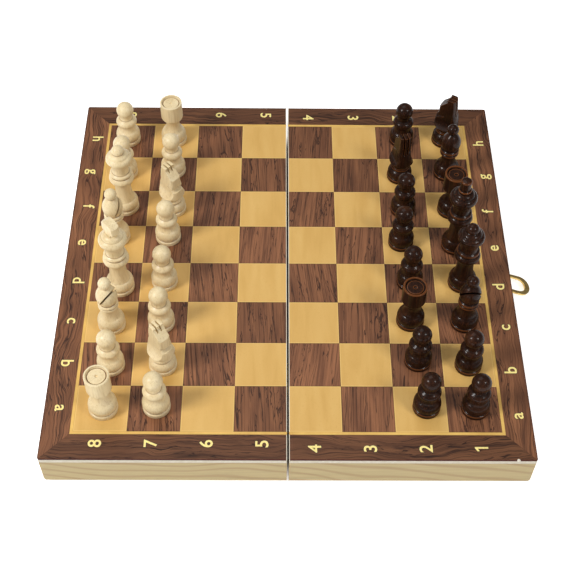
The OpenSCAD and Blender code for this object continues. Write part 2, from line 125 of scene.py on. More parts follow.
class Finish:
    """One procedural material. node() adds any shader node: its settings first, then its sockets."""

    def __init__(self, name):
        self.material = bpy.data.materials.new(name)
        self.material.use_nodes = True
        self.tree = self.material.node_tree
        self.tree.nodes.clear()
        self.output = self.tree.nodes.new("ShaderNodeOutputMaterial")

    def node(self, kind, settings=None, sockets=None, out=0):
        made = self.tree.nodes.new("ShaderNode" + kind)
        for key, value in (settings or {}).items():
            if key == "stops":
                self.set_stops(made.color_ramp, value)
            else:
                setattr(made, key, value)
        for key, value in (sockets or {}).items():
            if isinstance(value, Value):
                self.tree.links.new(value.socket, made.inputs[key])
            else:
                made.inputs[key].default_value = value
        return Value(self, made.outputs[out])

    @staticmethod
    def set_stops(ramp, stops):
        while len(ramp.elements) > 1:
            ramp.elements.remove(ramp.elements[-1])
        for i, (place, colour) in enumerate(stops):
            element = ramp.elements[0] if i == 0 else ramp.elements.new(place)
            element.position = place
            element.color = colour

    def axes(self):
        """Object coordinates as three values, in metres."""
        here = self.node("TexCoord", out=3)
        parts = self.tree.nodes.new("ShaderNodeSeparateXYZ")
        self.tree.links.new(here.socket, parts.inputs[0])
        return [Value(self, parts.outputs[i]) for i in range(3)]

    def point(self, x, y, z):
        return self.node("CombineXYZ", None, {0: x, 1: y, 2: z})

    def noise(self, at, scale, detail=4.0, roughness=0.5, distortion=0.0):
        return self.node("TexNoise", None, {"Vector": at, "Scale": scale, "Detail": detail,
                                            "Roughness": roughness, "Distortion": distortion})

    def ramp(self, factor, *stops):
        return self.node("ValToRGB", {"stops": stops}, {0: factor})

    def smooth(self, value, low, high, to_low=0.0, to_high=1.0):
        return self.node("MapRange", {"interpolation_type": "SMOOTHSTEP", "clamp": True},
                         {0: value, 1: low, 2: high, 3: to_low, 4: to_high})

    def blend(self, factor, first, second, how="MIX"):
        """Mix of two colours."""
        return self.node("Mix", {"data_type": "RGBA", "blend_type": how},
                         {0: factor, 6: first, 7: second}, out=2)

    def bump(self, height, strength, distance):
        return self.node("Bump", None, {"Height": height, "Strength": strength,
                                        "Distance": distance})

    def surface(self, colour, roughness, normal=None, **plain):
        sockets = {"Base Color": colour, "Roughness": roughness}
        if normal is not None:
            sockets["Normal"] = normal
        for key, value in plain.items():
            sockets[key.replace("_", " ").title().replace("Ior", "IOR")] = value
        shader = self.node("BsdfPrincipled", None, sockets)
        self.tree.links.new(shader.socket, self.output.inputs["Surface"])
        return self.material


# ---- Woods of the board ----

def chequer(x, y):
    """Numbers of the square that a point is in, and its distance from that square's edge."""
    u = (x - x.sign() * (fold_gap / 2)) / square
    v = y / square
    column = u.floor()
    row = v.floor()
    across = u - column
    along = v - row
    edge = across.least(1 - across).least(along.least(1 - along)) * square
    return column, row, edge


def figured_brown(finish, at, tint):
    """Rosewood figure along the second axis of the given point: bands, pores and dark streaks."""
    bands = finish.noise(at, 1.0, 5.0, 0.55, 0.6)
    pores = finish.noise(finish.node("VectorMath", {"operation": "MULTIPLY"},
                                     {0: at, 1: (6.0, 0.7, 1.0)}), 1.0, 2.0, 0.6)
    fine = finish.noise(finish.node("VectorMath", {"operation": "MULTIPLY_ADD"},
                                    {0: at, 1: (4.2, 0.42, 1.0), 2: (7.0, 3.0, 5.0)}),
                        1.0, 2.0, 0.5, 0.35)
    broad = finish.noise(finish.node("VectorMath", {"operation": "MULTIPLY_ADD"},
                                     {0: at, 1: (1.0, 0.6, 1.0), 2: (17.0, 9.0, 2.0)}),
                         1.0, 4.0, 0.55, 1.6)
    body = finish.ramp(bands, (0.28, paint(110, 70, 48)), (0.45, paint(131, 86, 59)),
                       (0.6, paint(146, 97, 66)), (0.78, paint(163, 110, 75)))
    grained = finish.blend(finish.smooth(pores, 0.48, 0.68, 0.0, 0.6), body, paint(72, 43, 30))
    thin = 1 - finish.smooth(abs(fine - 0.5), 0.006, 0.024)
    vein = 1 - finish.smooth(abs(broad - 0.56), 0.006, 0.022)
    dark = (thin * 0.55).most(vein * 0.85)
    lined = finish.blend(dark, grained, paint(46, 27, 20))
    toned = finish.blend(1.0, lined, finish.ramp(tint, (0.0, (0.78, 0.77, 0.76, 1)),
                                                 (1.0, (1.08, 1.08, 1.08, 1))), "MULTIPLY")
    return toned, pores


def dark_square_finish():
    finish = Finish("walnut_squares")
    x, y, z = finish.axes()
    column, row, edge = chequer(x, y)
    luck = finish.node("TexWhiteNoise", {"noise_dimensions": "3D"},
                       {"Vector": finish.point(column, row, 4.0)}, out=0)
    luck2 = finish.node("TexWhiteNoise", {"noise_dimensions": "3D"},
                        {"Vector": finish.point(row, column, 9.0)}, out=0)
    lean = (luck2 - 0.5) * 0.25
    at = finish.point((x + y * lean) * 210 + luck * 90, y * 26 + luck2 * 40, luck * 30)
    colour, pores = figured_brown(finish, at, luck)
    rim = finish.smooth(edge, 0.0, mm(0.5), 0.55, 0.0)
    edged = finish.blend(rim, colour, paint(74, 42, 30))
    # Pale line along the fold seam: the pale core of the panel's edge, with a painted highlight on that
    # edge.
    pale_edges = finish.smooth(abs(x) - fold_gap / 2, mm(0.25), mm(0.4), 1.0, 0.0)
    shown = finish.blend(pale_edges, edged, paint(226, 216, 196))
    rough = 0.4 + pores * 0.12
    normal = finish.bump(pores * 0.6 + finish.smooth(edge, 0.0, mm(0.2), 0.0, 1.0), 0.25, mm(0.06))
    return finish.surface(shown, rough, normal, specular_ior_level=0.22)


def light_square_finish():
    finish = Finish("golden_squares")
    x, y, z = finish.axes()
    column, row, edge = chequer(x, y)
    luck = finish.node("TexWhiteNoise", {"noise_dimensions": "3D"},
                       {"Vector": finish.point(column, row, 2.0)}, out=0)
    at = finish.point(x * 160 + luck * 50, y * 30, luck * 20)
    soft = finish.noise(at, 1.0, 4.0, 0.5, 0.4)
    fine = finish.noise(finish.point(x * 1500, y * 900, luck), 1.0, 2.0, 0.6)
    body = finish.ramp(soft, (0.3, paint(210, 166, 92)), (0.5, paint(216, 173, 99)),
                       (0.75, paint(221, 180, 107)))
    speckled = finish.blend(finish.smooth(fine, 0.55, 0.8, 0.0, 0.3), body, paint(193, 146, 76))
    rim = finish.smooth(edge, mm(0.35), mm(0.6), 0.75, 0.0)
    edged = finish.blend(rim, speckled, paint(233, 194, 116))
    joint = finish.smooth(edge, 0.0, mm(0.14), 0.5, 0.0)
    jointed = finish.blend(joint, edged, paint(150, 105, 58))
    # Pale line along the fold seam: the pale core of the panel's edge, with a painted highlight on that
    # edge.
    pale_edges = finish.smooth(abs(x) - fold_gap / 2, mm(0.25), mm(0.4), 1.0, 0.0)
    shown = finish.blend(pale_edges, jointed, paint(232, 224, 206))
    normal = finish.bump(fine * 0.4 + finish.smooth(edge, 0.0, mm(0.2), 0.0, 1.0), 0.2, mm(0.05))
    return finish.surface(shown, 0.42 + fine * 0.08, normal, specular_ior_level=0.25)


def border_finish():
    finish = Finish("walnut_border")
    x, y, z = finish.axes()
    out_x = abs(x) - string_x
    out_y = abs(y) - string_y
    on_end = out_x > out_y
    across = x * on_end + y * (1 - on_end)
    along = y * on_end + x * (1 - on_end)
    strip = x.sign() * 3.0 + y.sign() * (1 - on_end) * 7.0 + on_end * 13.0
    wander = finish.noise(finish.point(along * 22, across * 34, strip), 1.0, 3.0, 0.5)
    at = finish.point(across * 200 + wander * 4.0, along * 20 + strip * 4.0, strip)
    figured, pores = figured_brown(finish, at, wander)
    shade = finish.blend(on_end, (0.62, 0.62, 0.62, 1), (0.97, 0.97, 0.97, 1))
    colour = finish.blend(1.0, figured, shade, "MULTIPLY")
    mitre = finish.smooth(abs(out_x - out_y), 0.0, mm(0.22), 0.55, 0.0)
    mitred = finish.blend(mitre * finish.smooth(out_x.least(out_y), 0.0, mm(0.1)),
                          colour, paint(60, 36, 26))
    rim = (half_x - abs(x)).least(half_y - abs(y))
    ragged = finish.noise(finish.point(x * 700, y * 700, 0.0), 1.0, 2.0, 0.6)
    stain = finish.smooth(rim + ragged * mm(0.5), mm(0.5), mm(1.0), 0.85, 0.0)
    stained = finish.blend(stain, mitred, paint(74, 28, 18))
    # Pale line along the fold seam: the pale core of the panel's edge, with a painted highlight on that
    # edge.
    pale_edges = finish.smooth(abs(x) - fold_gap / 2, mm(0.25), mm(0.4), 1.0, 0.0)
    edged = finish.blend(pale_edges, stained, paint(226, 216, 196))
    chip_at = (half_x - mm(9.3), -half_y + mm(0.2))
    away = finish.node("Math", {"operation": "SQRT"},
                       {0: (x - chip_at[0]) * (x - chip_at[0]) + (y - chip_at[1]) * (y - chip_at[1])})
    chip = finish.smooth(away + ragged * mm(0.6), mm(1.0), mm(1.15), 1.0, 0.0)
    shown = finish.blend(chip, edged, paint(226, 218, 200))
    normal = finish.bump(pores * 0.6, 0.25, mm(0.06))
    return finish.surface(shown, 0.42 + pores * 0.12, normal, specular_ior_level=0.22)


def stringing_finish():
    finish = Finish("gold_line")
    x, y, z = finish.axes()
    soft = finish.noise(finish.point(x * 120, y * 120, 0.0), 1.0, 3.0, 0.5)
    fine = finish.noise(finish.point(x * 1600, y * 1600, 3.0), 1.0, 2.0, 0.6)
    body = finish.ramp(soft, (0.3, paint(214, 170, 90)), (0.7, paint(232, 190, 104)))
    inner = (abs(x) - field_x).most(abs(y) - field_y)
    outer = (string_x - abs(x)).least(string_y - abs(y))
    joint = finish.smooth(inner.least(outer), 0.0, mm(0.18), 0.6, 0.0)
    shown = finish.blend(joint, body, paint(140, 96, 52))
    return finish.surface(shown, 0.42 + fine * 0.08, finish.bump(fine, 0.15, mm(0.04)),
                          specular_ior_level=0.25)


def pine_finish(name, along_x):
    """Pine whose growth bands sweep along the wall's length."""
    finish = Finish(name)
    x, y, z = finish.axes()
    along = x if along_x else y
    across = y if along_x else x
    drift = finish.noise(finish.point(along * 9, z * 14, across * 20), 1.0, 2.0, 0.5)
    rings = finish.node("TexWave", {"wave_type": "BANDS", "bands_direction": "Z",
                                    "wave_profile": "SIN"},
                        {"Vector": finish.point(along * 3.0, across * 30, z * 62 + drift * 3.4
                                                + along * 9),
                         "Scale": 0.62, "Distortion": 1.6, "Detail": 2.0, "Detail Scale": 1.2})
    fibre = finish.noise(finish.point(along * 60, across * 700, z * 1300), 1.0, 4.0, 0.65)
    late = finish.smooth(rings, 0.62, 1.0)
    body = finish.ramp(fibre, (0.3, paint(165, 144, 94)), (0.55, paint(174, 153, 102)),
                       (0.8, paint(182, 162, 113)))
    banded = finish.blend(late * 0.55, body, paint(146, 113, 60))
    normal = finish.bump(fibre, 0.25, mm(0.08))
    return finish.surface(banded, 0.46 + fibre * 0.12, normal, coat_weight=0.1, coat_roughness=0.35)


def panel_finish():
    finish = Finish("pale_panel")
    x, y, z = finish.axes()
    flecks = finish.noise(finish.point(x * 420, y * 420, z * 900), 1.0, 4.0, 0.65)
    plies = finish.noise(finish.point(x * 14, y * 14, z * 2600), 1.0, 2.0, 0.5)
    body = finish.ramp(flecks, (0.35, paint(192, 182, 160)), (0.6, paint(205, 197, 181)),
                       (0.8, paint(211, 206, 192)))
    shown = finish.blend(finish.smooth(plies, 0.55, 0.75, 0.0, 0.3), body, paint(196, 180, 148))
    return finish.surface(shown, 0.6 + flecks * 0.1, finish.bump(flecks, 0.3, mm(0.08)))


# ---- Finishes of the pieces and fittings ----

def piece_grain(finish):
    """Fine vertical grain that every turned blank has, at the scale of a small piece."""
    x, y, z = finish.axes()
    blank = finish.noise(finish.point((x / square).floor(), (y / square).floor(), 1.0), 3.1, 0.0)
    lines = finish.noise(finish.point(x * 1500 + blank * 40, y * 1500, z * 70), 1.0, 4.0, 0.6, 0.5)
    clouds = finish.noise(finish.point(x * 150, y * 150, z * 60 + blank * 30), 1.0, 3.0, 0.5)
    return lines, clouds


def ivory_finish():
    finish = Finish("ivory_lacquered_wood")
    lines, clouds = piece_grain(finish)
    hollow = finish.node("Attribute", {"attribute_name": "hollow"}, out=2)
    ridge = finish.node("Attribute", {"attribute_name": "ridge"}, out=2)
    body = finish.ramp(clouds, (0.3, paint(222, 199, 152)), (0.5, paint(232, 211, 166)),
                       (0.75, paint(239, 221, 180)))
    grained = finish.blend(finish.smooth(lines, 0.46, 0.72, 0.0, 0.45), body, paint(190, 158, 106))
    # Painted highlight: the ridges of the turned outline are painted a lighter cream.
    bright = finish.blend(ridge * 0.35, grained, paint(234, 220, 184))
    # Painted shade: the hollows and grooves are painted a darker brown.
    groove_shade = finish.blend(finish.smooth(hollow, 0.3, 0.95) * 0.85, bright, paint(128, 86, 44))
    return finish.surface(groove_shade, 0.36 + lines * 0.1, finish.bump(lines, 0.12, mm(0.05)),
                          coat_weight=0.15, coat_roughness=0.2, specular_ior_level=0.35)


def ebonised_finish():
    finish = Finish("dark_lacquered_wood")
    lines, clouds = piece_grain(finish)
    hollow = finish.node("Attribute", {"attribute_name": "hollow"}, out=2)
    ridge = finish.node("Attribute", {"attribute_name": "ridge"}, out=2)
    body = finish.ramp(clouds, (0.3, paint(28, 14, 8)), (0.55, paint(39, 20, 11)),
                       (0.8, paint(64, 36, 19)))
    grained = finish.blend(finish.smooth(lines, 0.48, 0.72, 0.0, 0.5), body, paint(88, 48, 26))
    rubbed = finish.smooth(ridge * (0.5 + clouds), 0.3, 0.62)
    pale_edges = finish.blend(rubbed * 0.6, grained, paint(122, 70, 32))
    # Painted shade: the hollows are painted near black.
    shown = finish.blend(hollow * 0.8, pale_edges, paint(14, 7, 4))
    return finish.surface(shown, 0.36 + lines * 0.14, finish.bump(lines, 0.16, mm(0.05)),
                          coat_weight=0.18, coat_roughness=0.09, specular_ior_level=0.08)


def brass_finish(name, bright, dull, rough):
    finish = Finish(name)
    x, y, z = finish.axes()
    smears = finish.noise(finish.point(x * 260, y * 260, z * 260), 1.0, 4.0, 0.6)
    brushed = finish.noise(finish.point(x * 900, y * 6000, z * 900), 1.0, 3.0, 0.6)
    tarnish = finish.smooth(smears, 0.42, 0.7)
    colour = finish.blend(tarnish, bright, dull)
    return finish.surface(colour, rough + tarnish * 0.15 + brushed * 0.08,
                          finish.bump(brushed, 0.15, mm(0.03)), metallic=1.0)


def steel_finish():
    finish = Finish("drawn_steel")
    x, y, z = finish.axes()
    drawn = finish.noise(finish.point(x * 5000, y * 200, z * 5000), 1.0, 3.0, 0.6)
    return finish.surface(finish.ramp(drawn, (0.3, paint(150, 150, 150)), (0.7, paint(196, 196, 194))),
                          0.28 + drawn * 0.15, metallic=1.0)


def gilt_finish():
    finish = Finish("gilt_print")
    x, y, z = finish.axes()
    patchy = finish.noise(finish.point(x * 900, y * 900, 0.0), 1.0, 3.0, 0.6)
    body = finish.ramp(patchy, (0.3, paint(240, 214, 122)), (0.6, paint(252, 234, 150)))
    return finish.surface(body, 0.4 + patchy * 0.1)


def ink_finish():
    finish = Finish("dark_outline_print")
    x, y, z = finish.axes()
    patchy = finish.noise(finish.point(x * 900, y * 900, 2.0), 1.0, 3.0, 0.6)
    return finish.surface(finish.ramp(patchy, (0.3, paint(52, 26, 20)), (0.7, paint(66, 36, 26))),
                          0.45 + patchy * 0.1)


IVORY = ivory_finish()
EBONY = ebonised_finish()
BRASS = brass_finish("pressed_brass", paint(226, 196, 124), paint(178, 142, 78), 0.24)
NAIL_BRASS = brass_finish("nail_brass", paint(196, 160, 92), paint(140, 106, 58), 0.34)
GILT = gilt_finish()
INK = ink_finish()


# ---- Turned pieces: an outline through stations, spun by a node tree ----

def arc_points(start, end, bulge, steps):
    """Points of an arc after its start. The bulge is its rise as a share of the chord."""
    if abs(bulge) < 0.001:
        return [end]
    chord = math.dist(start, end)
    sweep = 4 * math.atan(2 * bulge)
    across = ((end[1] - start[1]) / chord, (start[0] - end[0]) / chord)
    reach = chord / 2 / math.tan(sweep / 2)
    centre = [(start[i] + end[i]) / 2 - across[i] * reach for i in (0, 1)]
    points = []
    for i in range(1, steps + 1):
        a = sweep * i / steps
        dx, dz = start[0] - centre[0], start[1] - centre[1]
        points.append((centre[0] + dx * math.cos(a) - dz * math.sin(a),
                       centre[1] + dx * math.sin(a) + dz * math.cos(a)))
    points[-1] = end
    return points


def outline(stations, steps=10):
    points = [(0.0, stations[0][1]), stations[0][:2]]
    for before, here in zip(stations, stations[1:]):
        points += arc_points(before[:2], here[:2], here[2], steps)
    if points[-1][0] > 0:
        points.append((0.0, points[-1][1]))
    return points


def eased(points, radius):
    """The outline with its sharp corners cut back by a small radius, as sanding leaves them."""
    soft = [points[0]]
    for before, here, after in zip(points, points[1:], points[2:]):
        u = Vector(before) - Vector(here)
        v = Vector(after) - Vector(here)
        if u.length < 1e-6 or v.length < 1e-6:
            continue
        turn = math.pi - u.angle(v)
        if turn < 0.35:
            soft.append(here)
            continue
        cut = min(radius, u.length * 0.4, v.length * 0.4)
        start = Vector(here) + u.normalized() * cut
        end = Vector(here) + v.normalized() * cut
        middle = (start + end) / 4 + Vector(here) / 2
        soft += [tuple(start), tuple(middle), tuple(end)]
    return soft + [points[-1]]


def closer(points):
    """The outline with a point set near both ends of every long straight run."""
    dense = [points[0]]
    for before, here in zip(points, points[1:]):
        length = math.dist(before, here)
        if length > 1.4:
            for share in (0.5 / length, 1 - 0.5 / length):
                dense.append(tuple(b + (h - b) * share for b, h in zip(before, here)))
        dense.append(here)
    return dense


def spin_tree():
    """Spins an outline that lies in the XY plane, x as radius and y as height, round the Z axis."""
    tree = bpy.data.node_groups.new("lathe", "GeometryNodeTree")
    for name, kind in (("Outline", "NodeSocketGeometry"), ("Sides", "NodeSocketInt"),
                       ("Hub", "NodeSocketFloat"), ("Wood", "NodeSocketMaterial")):
        tree.interface.new_socket(name, in_out="INPUT", socket_type=kind)
    tree.interface.new_socket("Turned", in_out="OUTPUT", socket_type="NodeSocketGeometry")
    add = tree.nodes.new
    given, result = add("NodeGroupInput"), add("NodeGroupOutput")
    to_curve, shift, offset = add("GeometryNodeMeshToCurve"), add("GeometryNodeSetPosition"), \
        add("ShaderNodeCombineXYZ")
    less = add("ShaderNodeMath")
    less.operation = "MULTIPLY"
    less.inputs[1].default_value = -1.0
    path, sweep = add("GeometryNodeCurvePrimitiveCircle"), add("GeometryNodeCurveToMesh")
    weld, wood, real = add("GeometryNodeMergeByDistance"), add("GeometryNodeSetMaterial"), \
        add("GeometryNodeRealizeInstances")
    stand = add("GeometryNodeTransform")
    stand.inputs["Rotation"].default_value = (math.pi, 0, 0)
    weld.inputs["Distance"].default_value = 0.000004
    link = tree.links.new
    link(given.outputs["Outline"], to_curve.inputs[0])
    link(given.outputs["Hub"], less.inputs[0])
    link(less.outputs[0], offset.inputs[0])
    link(to_curve.outputs[0], shift.inputs["Geometry"])
    link(offset.outputs[0], shift.inputs["Offset"])
    link(given.outputs["Sides"], path.inputs["Resolution"])
    link(given.outputs["Hub"], path.inputs["Radius"])
    link(path.outputs[0], sweep.inputs["Curve"])
    link(shift.outputs[0], sweep.inputs["Profile Curve"])
    link(sweep.outputs[0], stand.inputs[0])
    link(stand.outputs[0], weld.inputs[0])
    link(weld.outputs[0], real.inputs[0])
    link(real.outputs[0], wood.inputs["Geometry"])
    link(given.outputs["Wood"], wood.inputs["Material"])
    link(wood.outputs[0], result.inputs[0])
    return tree


def grow(tree, mesh, **inputs):
    """The plain mesh that a node tree makes from a base mesh and its named inputs."""
    seed = bpy.data.objects.new("seed", mesh)
    bpy.context.scene.collection.objects.link(seed)
    modifier = seed.modifiers.new("grow", "NODES")
    modifier.node_group = tree
    sockets = {s.name: s.identifier for s in tree.interface.items_tree if s.in_out == "INPUT"}
    for name, value in inputs.items():
        modifier[sockets[name]] = value
    depsgraph = bpy.context.evaluated_depsgraph_get()
    grown = bpy.data.meshes.new_from_object(seed.evaluated_get(depsgraph))
    bpy.data.objects.remove(seed)
    return grown


LATHE = spin_tree()


def turn(stations, wood, sides=88):
    """Mesh of a turned shape in millimetre stations, standing on the origin, in metres."""
    points = closer(eased(outline(stations), 0.14))
    rail = bpy.data.meshes.new("rail")
    rail.from_pydata([(r * MM, z * MM, 0.0) for r, z in points],
                     [(i, i + 1) for i in range(len(points) - 1)], [])
    mesh = grow(LATHE, rail, Sides=sides, Hub=mm(0.5), Wood=wood)
    mark_relief(mesh, points)
    return mesh


def mark_relief(mesh, points):
    """Writes how hollow or ridged the outline is at each vertex, for the painted shade in the hollows and
    for wear and a painted highlight on the ridges.
    """
    corners = np.array(points)
    runs = np.r_[0, np.cumsum(np.linalg.norm(np.diff(corners, axis=0), axis=1))]
    lengths = np.linspace(0, runs[-1], int(runs[-1] / 0.1) + 1)
    line = np.c_[[np.interp(lengths, runs, corners[:, i]) for i in (0, 1)]].T
    step = 0.55
    before = np.c_[[np.interp(lengths - step, lengths, line[:, i]) for i in (0, 1)]].T
    after = np.c_[[np.interp(lengths + step, lengths, line[:, i]) for i in (0, 1)]].T
    bend = (after - line) - (line - before)
    tangent = after - before
    normal = np.c_[tangent[:, 1], -tangent[:, 0]]
    normal /= np.maximum(np.linalg.norm(normal, axis=1, keepdims=True), 1e-9)
    relief = -(bend * normal).sum(1) / step
    relief[(lengths < step) | (lengths > lengths[-1] - step)] = 0
    count = len(mesh.vertices)
    places = np.zeros(count * 3)
    mesh.vertices.foreach_get("co", places)
    places = places.reshape(-1, 3) / MM
    radial = np.c_[np.hypot(places[:, 0], places[:, 1]), places[:, 2]]
    nearest = np.array([np.argmin(((line - p) ** 2).sum(1)) for p in radial])
    for name, values in (("hollow", -relief), ("ridge", relief)):
        layer = mesh.attributes.new(name, "FLOAT", "POINT")
        layer.data.foreach_set("value", np.clip(values[nearest], 0, 1).astype(np.float32))


FOOT_T = 2.4
NECK_Z = FOOT_T + 0.6


def raised(z, ref, h):
    """A height of a shape drawn for height ref, moved for height h. The foot keeps its own."""
    return z if z <= NECK_Z else NECK_Z + (z - NECK_Z) * (h - NECK_Z) / (ref - NECK_Z)


def stretch(plan, ref, h):
    return [(p[0], raised(p[1], ref, h), *p[2:]) for p in plan]


def foot(r):
    return [(r - 0.3, 0, 0), (r, 0.3, 0.2), (r, FOOT_T - 0.4, 0), (r - 0.4, FOOT_T, 0.2),
            (r - 0.9, FOOT_T + 0.3, 0)]


def belly(r, top_r, top_z):
    return [(r - 0.5, NECK_Z, 0), (top_r, top_z, 0.15), (top_r - 0.4, top_z + 0.3, 0)]


def bead(r, low, high):
    return [(r, low, 0), (r, high, 0.28)]


def pawn_stations(r, h):
    return stretch(foot(r) + belly(r, r - 1.3, 8.6) + [(r - 2.4, 12.6, -0.1)]
                   + bead(r - 2.2, 13, 17.2) + [(r - 3.2, 17.8, 0), (r - 3.3, 20.3, -0.05),
                                                  (0, 28.4, 0.33)], 28.4, h)


def rook_stations(r, h):
    """The dish on top keeps its depth whatever the rook's height is."""
    body = stretch(foot(r) + belly(r, r - 1.6, 8.6) + [
        (r - 3, 16.4, -0.12), (r - 2.1, 18.2, -0.1), (r - 1.4, 18.8, 0.2), (r - 1.1, 20, 0.1),
        (r - 1.1, 29.6, 0), (r - 1.5, 30, 0.2)], 30, h)
    return body + [(r - 2.1, h, 0), (r - 2.2, h - 0.8, 0), (r - 2.4, h - 0.85, 0),
                   (r - 2.5, h - 1.3, 0), (r - 2.9, h - 1.3, 0), (r - 3, h - 0.8, 0),
                   (0.9, h - 0.8, 0), (0.5, h - 1.4, -0.1), (0, h - 1.6, 0)]


def bishop_stations(r, h):
    return stretch(foot(r) + belly(r, r - 1.5, 8.8) + [(r - 3, 15.6, -0.1)]
                   + bead(r - 2.4, 16.8, 18.6) + bead(r - 2.4, 18.8, 20.6)
                   + [(r - 2.9, 21, 0), (2.1, 32, 0.2), (1.8, 32.4, 0), (0, 38.4, 0.37)], 38.4, h)


def royal_body(r):
    return foot(r) + belly(r, r - 1.3, 8.3) + [(r - 2.5, 21.8, -0.06)] \
        + bead(r - 1.8, 22.4, 27) + bead(r - 1.9, 27.4, 29.4) + [(r - 2.6, 29.8, 0)]


def queen_stations(r, h):
    return stretch(royal_body(r) + [(r - 1.3, 37.4, -0.08), (r - 1.6, 41.4, 0.28), (r - 2, 41.6, 0),
                                    (3.3, 43.4, 0.1), (2.9, 43.7, 0), (3.4, 45, 0.12),
                                    (0, 48, 0.19)], 48, h)


FINIAL_H = 8.4


def king_stations(r, h, top):
    shoulder = h - FINIAL_H
    return stretch(royal_body(r) + [(r - 1.1, 37.6, -0.08), (r - 1.3, 42.2, 0.27), (r - 1.8, 42.4, 0),
                                    (3.4, 44.6, 0.12)], 44.6, shoulder) \
        + [(x, shoulder + z, bulge) for x, z, bulge in top]


POST = [(2.6, 0.1, 0), (2.6, 0.4, 0), (3.1, 0.6, 0), (3.1, 1.8, 0.3), (2.6, 2, 0),
        (2.9, FINIAL_H - 1.6, 0.02), (1.8, FINIAL_H - 0.2, 0.25), (0, FINIAL_H, 0.05)]
FLAT_TOP = [(0, 0, 0)]


# ---- Carving ----

def thing(name, mesh):
    made = bpy.data.objects.new(name, mesh)
    bpy.context.scene.collection.objects.link(made)
    return made


def prism(points, low, high):
    """Closed prism of an outline in X and Z, from low to high in Y, in millimetres."""
    mesh = bpy.data.meshes.new("prism")
    work = bmesh.new()
    near = [work.verts.new(mm(x, low, z)) for x, z in points]
    far = [work.verts.new(mm(x, high, z)) for x, z in points]
    work.faces.new(near)
    work.faces.new(reversed(far))
    for i in range(len(points)):
        j = (i + 1) % len(points)
        work.faces.new((near[j], near[i], far[i], far[j]))
    bmesh.ops.recalc_face_normals(work, faces=work.faces)
    work.to_mesh(mesh)
    work.free()
    return mesh


def settle(made, *modifiers):
    """Applies modifiers, given as (kind, settings), and leaves a plain mesh."""
    for kind, settings in modifiers:
        modifier = made.modifiers.new(kind.lower(), kind)
        for key, value in settings.items():
            setattr(modifier, key, value)
    depsgraph = bpy.context.evaluated_depsgraph_get()
    plain = bpy.data.meshes.new_from_object(made.evaluated_get(depsgraph))
    made.modifiers.clear()
    made.data = plain
    return made


def cut(made, tool, how):
    """Boolean of two things. The tool is used up."""
    settle(made, ("BOOLEAN", {"operation": how, "object": tool, "solver": "EXACT"}))
    bpy.data.objects.remove(tool)
    return made


def along_y(mesh):
    """Turns a prism so that its plan lies in Y and Z and its depth in X."""
    mesh.transform(Matrix.Rotation(math.radians(90), 4, "Z"))
    return mesh


def flipped(plan):
    return [(-x, z) for x, z in plan]


def knight_head(r, h, wood):
    """Horse's head sawn from its turned blank: scooped flanks, face, throat and two mane cuts."""
    ref = 34
    blank = [(r - 2.3, 10.2, 0), (r - 0.5, 13.4, -0.12), (r - 0.1, 14.4, 0.15),
             (r - 1.8, 24.5, 0.03), (r - 2.7, ref, 0.02)]
    head = thing("head", turn(stretch(blank, ref, h), wood, 120))
    scoop = outline([(r - 0.3, 13.2, 0), (3.5, 21, -0.15), (3, ref + 1, 0)])[1:-1]
    flank = stretch(scoop + [(2 * r, ref + 1), (2 * r, 13.2)], ref, h)
    face = [(0.2, ref + 1), (0.2, 32.2), (4.8, 27.4), (4.8, 21), (2 * r, 21), (2 * r, ref + 1)]
    throat = [(2 * r, 21.1), (4.7, 21.1), (-0.3, 22), (5.4, 19.2), (2 * r, 19.2)]
    mane = [(-2 * r, 21), (-3.4, 23), (-2.4, 30.5), (1.5, 30.5), (1.5, ref + 1),
            (-2 * r, ref + 1)]
    cut(head, thing("flank", along_y(prism(flank, -20, 20))), "DIFFERENCE")
    cut(head, thing("flank", along_y(prism(flipped(flank), -20, 20))), "DIFFERENCE")
    for plan in (face, throat):
        cut(head, thing("saw", prism(stretch(plan, ref, h), -20, 20)), "DIFFERENCE")
    for y in (-1.1, 1.1):
        cut(head, thing("saw", prism(stretch(mane, ref, h), y - 0.35, y + 0.35)), "DIFFERENCE")
    settle(head, ("REMESH", {"mode": "VOXEL", "voxel_size": mm(0.16)}),
           ("SMOOTH", {"factor": 0.5, "iterations": 1}))
    return head


def block_finial(h, wood):
    """Cross with flared arms, turned as a disc and sawn flat on both sides."""
    low, top = h - FINIAL_H, FINIAL_H
    shape = [(-2.2, -0.3), (2.2, -0.3), (2.4, 1.6), (5, 2.6), (5, top - 1.9), (2.2, top),
             (-2.2, top), (-5, top - 1.9), (-5, 2.6), (-2.4, 1.6)]
    block = thing("block", prism([(x, low + z) for x, z in shape], -2.5, 2.5))
    disc = [(4.2, -0.3, 0), (4.7, top * 0.6, 0.08), (4.1, top, 0.08)]
    cut(block, thing("disc", turn([(x, low + z, b) for x, z, b in disc], wood)), "INTERSECT")
    return settle(block, ("REMESH", {"mode": "VOXEL", "voxel_size": mm(0.16)}),
                  ("SMOOTH", {"factor": 0.5, "iterations": 3}))


def knight_foot_stations(r):
    return foot(r) + belly(r, r - 1.5, 7.4) + [(r - 2.3, 8.4, -0.1), (r - 2.1, 10, 0.3),
                                               (r - 2.2, 10.4, 0)]


